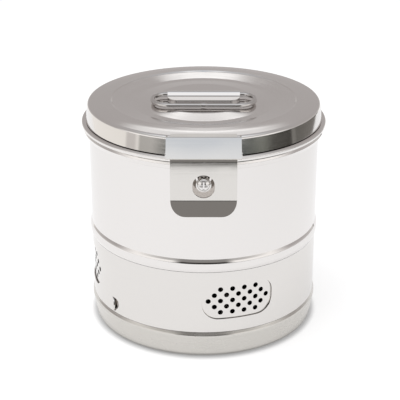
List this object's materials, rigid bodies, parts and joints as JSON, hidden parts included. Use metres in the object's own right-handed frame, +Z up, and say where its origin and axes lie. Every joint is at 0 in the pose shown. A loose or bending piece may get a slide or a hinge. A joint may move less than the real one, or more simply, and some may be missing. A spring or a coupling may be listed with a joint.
{
  "type": "sterilization container",
  "caption": "Round stainless steel sterilizing drum with a hinged latched lid, a swinging bail handle and a turning shutter band over its vent holes.",
  "frame": {"origin": "on the drum axis, in the plane that the flat base stands on", "axes": "+Z up along the drum axis, -Y towards the latch, +Y towards the lid hinge, +X to the right as seen from the latch"},
  "size_m": [0.159, 0.1741, 0.1543],
  "materials": {
    "polished_steel": "polished",
    "satin_steel": "satin",
    "plated_hardware": "polished"
  },
  "bodies": {
    "drum": {"upper_shell": "polished_steel", "vent_sleeve": "satin_steel", "base_pan": "satin_steel", "latch_stud": "plated_hardware", "stud_spacer": "plated_hardware", "stud_washer": "plated_hardware", "stud_nut": "plated_hardware", "hinge_body_leaf": "satin_steel", "body_leaf_rivets": "plated_hardware", "hinge_pin": "plated_hardware"},
    "lid": {"lid_pan": "polished_steel", "handle_clip": "polished_steel", "latch_bracket": "polished_steel", "latch_pin": "plated_hardware", "hinge_lid_leaf": "satin_steel", "lid_leaf_rivets": "plated_hardware"},
    "handle": {"handle_bail": "polished_steel"},
    "hasp": {"latch_hasp": "polished_steel"},
    "band": {"shutter_band": "polished_steel", "band_rivets": "plated_hardware"}
  },
  "joints": [
    {"name": "lid_hinge", "type": "hinge", "parent": "drum", "child": "lid", "pos_m": [0, 0.0832, 0.1412], "axis": [-1, 0, 0], "range_deg": [0, 105]},
    {"name": "handle_swing", "type": "hinge", "parent": "lid", "child": "handle", "pos_m": [0, 0.0004, 0.15198], "axis": [-1, 0, 0], "range_deg": [0, 182]},
    {"name": "hasp_swing", "type": "hinge", "parent": "lid", "child": "hasp", "pos_m": [0, -0.0815, 0.1411], "axis": [-1, 0, 0], "range_deg": [0, 30]},
    {"name": "band_turn", "type": "hinge", "parent": "drum", "child": "band", "pos_m": [0, 0, 0.0393], "axis": [0, 0, 1], "continuous": true}
  ]
}
